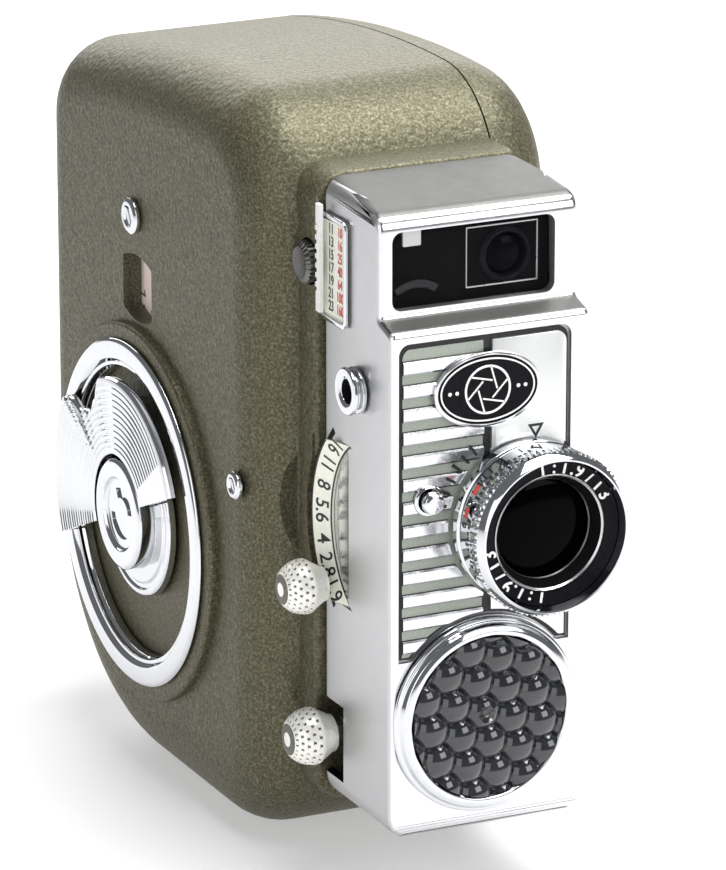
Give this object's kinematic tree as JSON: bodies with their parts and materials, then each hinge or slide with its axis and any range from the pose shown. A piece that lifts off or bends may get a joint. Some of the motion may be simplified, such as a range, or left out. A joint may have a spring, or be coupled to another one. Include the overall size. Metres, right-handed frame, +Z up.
{
  "type": "cine camera",
  "caption": "Spring-wound double-8 cine camera with a rounded lacquered body, a front housing with lens, meter cell and finder, a winding key and an aperture dial.",
  "frame": {"origin": "on the flat of the body's bottom, which rests on the ground, under the middle of the meter cell and halfway along the body", "axes": "+Z up, -Y the way the lens looks, -X the winding side, +X the film door"},
  "size_m": [0.0641, 0.1412, 0.1308],
  "materials": {
    "lacquer": "hammered olive-grey metallic lacquer",
    "satin_aluminium": "satin blasted, polished edges",
    "chrome": "polished",
    "cream_metal": "cream enamel on metal",
    "steel": "brushed",
    "brass": "machined",
    "black_metal": "matt black",
    "black_plastic": "gloss black",
    "glass": "coated optical glass",
    "cell_glass": "honeycomb moulded glass",
    "ribbed_aluminium": "polished ribs with grey-green grooves"
  },
  "bodies": {
    "camera": {"body_casting": "lacquer", "mechanism_plate": "satin_aluminium", "front_housing": "satin_aluminium", "trim_panel": "ribbed_aluminium", "badge": "black_metal", "finder_window": "glass", "cell_bezel": "chrome", "cell_lens": "cell_glass", "selenium_cell": "black_metal", "lens_mount": "chrome", "rear_element": "glass", "finder_tube": "black_metal", "finder_objective": "glass", "finder_eyepiece": "black_metal", "eyepiece_lens": "glass", "meter_movement": "black_plastic", "aperture_scale": "cream_metal", "cable_socket": "chrome", "film_speed_frame": "chrome", "counter_glass": "glass", "side_screw_upper": "chrome", "side_screw_front": "chrome", "tripod_bush": "steel", "winding_ring": "chrome", "film_gate": "steel", "governor_cup": "brass"},
    "door": {"film_door": "lacquer", "spool_spring": "steel"},
    "latch": {"door_latch": "chrome", "latch_bar": "steel"},
    "winder": {"winding_hub": "chrome", "winding_arbor": "steel"},
    "key": {"winding_key": "chrome"},
    "pawl": {"ratchet_pawl": "steel"},
    "motor": {"spring_barrel": "brass", "mainspring": "steel"},
    "intermediate": {"intermediate_gear": "brass"},
    "drive": {"drive_shaft": "steel"},
    "governor": {"governor_rotor": "steel"},
    "shutter": {"shutter_disc": "black_metal"},
    "claw": {"pulldown_claw": "steel"},
    "pressure": {"pressure_plate": "steel"},
    "supply": {"supply_spool": "black_metal"},
    "take_up": {"take_up_spool": "black_metal", "take_up_spindle": "steel"},
    "upper_roller": {"roller_upper": "steel"},
    "lower_roller": {"roller_lower": "steel"},
    "counter": {"counter_disc": "cream_metal"},
    "focus": {"focus_ring": "chrome", "lens_name_ring": "black_metal", "front_element": "glass"},
    "lock": {"lock_pin": "chrome"},
    "iris": {"iris_ring": "black_metal"},
    "aperture": {"aperture_lever": "steel", "aperture_knob": "cream_metal"},
    "release": {"release_lever": "steel", "release_knob": "cream_metal"},
    "speed_wheel": {"film_speed_wheel": "steel"},
    "speed_rack": {"film_speed_rack": "cream_metal"},
    "needle": {"meter_needle": "black_metal"}
  },
  "joints": [
    {"name": "door_slide", "type": "slide", "parent": "camera", "child": "door", "axis": [1, 0, 0], "range_m": [0, 0.035]},
    {"name": "latch_turn", "type": "hinge", "parent": "door", "child": "latch", "pos_m": [0, 0.00321, 0.06634], "axis": [1, 0, 0], "range_deg": [0, 90]},
    {"name": "winding_turn", "type": "hinge", "parent": "camera", "child": "winder", "pos_m": [0, 0.00321, 0.0474], "axis": [1, 0, 0], "continuous": true},
    {"name": "key_fold", "type": "hinge", "parent": "winder", "child": "key", "pos_m": [-0.02889, 0.00321, 0.0474], "axis": [0, -0.9205, 0.3907], "range_deg": [0, 90]},
    {"name": "pawl_lift", "type": "hinge", "parent": "camera", "child": "pawl", "pos_m": [0, 0.01658, 0.04419], "axis": [1, 0, 0], "range_deg": [0, 12], "stiffness_Nm_per_rad": 0.002},
    {"name": "motor_turn", "type": "hinge", "parent": "camera", "child": "motor", "pos_m": [0, 0.00321, 0.0474], "axis": [1, 0, 0], "continuous": true},
    {"name": "intermediate_turn", "type": "hinge", "parent": "camera", "child": "intermediate", "pos_m": [0, -0.01728, 0.0646], "axis": [1, 0, 0], "continuous": true},
    {"name": "drive_turn", "type": "hinge", "parent": "camera", "child": "drive", "pos_m": [0, -0.03337, 0.07045], "axis": [1, 0, 0], "continuous": true},
    {"name": "governor_turn", "type": "hinge", "parent": "camera", "child": "governor", "pos_m": [0, -0.00872, 0.07942], "axis": [1, 0, 0], "continuous": true},
    {"name": "shutter_turn", "type": "hinge", "parent": "camera", "child": "shutter", "pos_m": [-0.00214, 0, 0.07073], "axis": [0, 1, 0], "continuous": true},
    {"name": "claw_stroke", "type": "slide", "parent": "camera", "child": "claw", "axis": [0, 0, -1], "range_m": [0, 0.0038]},
    {"name": "pressure_lift", "type": "slide", "parent": "camera", "child": "pressure", "axis": [0, 1, 0], "range_m": [0, 0.002], "stiffness_N_per_m": 100},
    {"name": "supply_turn", "type": "hinge", "parent": "camera", "child": "supply", "pos_m": [0, 0.01284, 0.07971], "axis": [1, 0, 0], "continuous": true},
    {"name": "take_up_turn", "type": "hinge", "parent": "camera", "child": "take_up", "pos_m": [0, -0.00428, 0.03124], "axis": [1, 0, 0], "continuous": true},
    {"name": "upper_roller_turn", "type": "hinge", "parent": "camera", "child": "upper_roller", "pos_m": [0, -0.03478, 0.08774], "axis": [1, 0, 0], "continuous": true},
    {"name": "lower_roller_turn", "type": "hinge", "parent": "camera", "child": "lower_roller", "pos_m": [0, -0.03478, 0.04976], "axis": [1, 0, 0], "continuous": true},
    {"name": "counter_turn", "type": "hinge", "parent": "camera", "child": "counter", "pos_m": [0, 0.01327, 0.09416], "axis": [1, 0, 0], "range_deg": [0, 300]},
    {"name": "focus_turn", "type": "hinge", "parent": "camera", "child": "focus", "pos_m": [0.00738, 0, 0.06645], "axis": [0, -1, 0], "range_deg": [0, 270]},
    {"name": "lock_press", "type": "slide", "parent": "camera", "child": "lock", "axis": [0, 1, 0], "range_m": [0, 0.001], "stiffness_N_per_m": 200},
    {"name": "aperture_turn", "type": "hinge", "parent": "camera", "child": "aperture", "pos_m": [0, -0.0726, 0.06324], "axis": [1, 0, 0], "range_deg": [0, 72]},
    {"name": "iris_turn", "type": "hinge", "parent": "camera", "child": "iris", "pos_m": [0.00738, 0, 0.06645], "axis": [0, 1, 0], "range_deg": [0, 60]},
    {"name": "release_slide", "type": "slide", "parent": "camera", "child": "release", "axis": [0, 0, 1], "range_m": [-0.0035, 0.0035], "stiffness_N_per_m": 200},
    {"name": "speed_wheel_turn", "type": "hinge", "parent": "camera", "child": "speed_wheel", "pos_m": [0, -0.05125, 0.10593], "axis": [1, 0, 0], "range_deg": [-50, 50]},
    {"name": "speed_rack_slide", "type": "slide", "parent": "camera", "child": "speed_rack", "axis": [0, 0, 1], "range_m": [-0.003, 0.003]},
    {"name": "needle_turn", "type": "hinge", "parent": "camera", "child": "needle", "pos_m": [-0.0077, 0, 0.10272], "axis": [0, 1, 0], "range_deg": [-30, 30], "stiffness_Nm_per_rad": 0.0001}
  ],
  "couplings": [
    {"joint": "intermediate_turn", "follows": "motor_turn", "ratio": -4},
    {"joint": "drive_turn", "follows": "motor_turn", "ratio": 12},
    {"joint": "governor_turn", "follows": "motor_turn", "ratio": 12},
    {"joint": "shutter_turn", "follows": "motor_turn", "ratio": 12},
    {"joint": "take_up_turn", "follows": "motor_turn", "ratio": -2},
    {"joint": "iris_turn", "follows": "aperture_turn", "ratio": 0.8},
    {"joint": "speed_wheel_turn", "follows": "speed_rack_slide", "rad_per_m": -274.87}
  ]
}
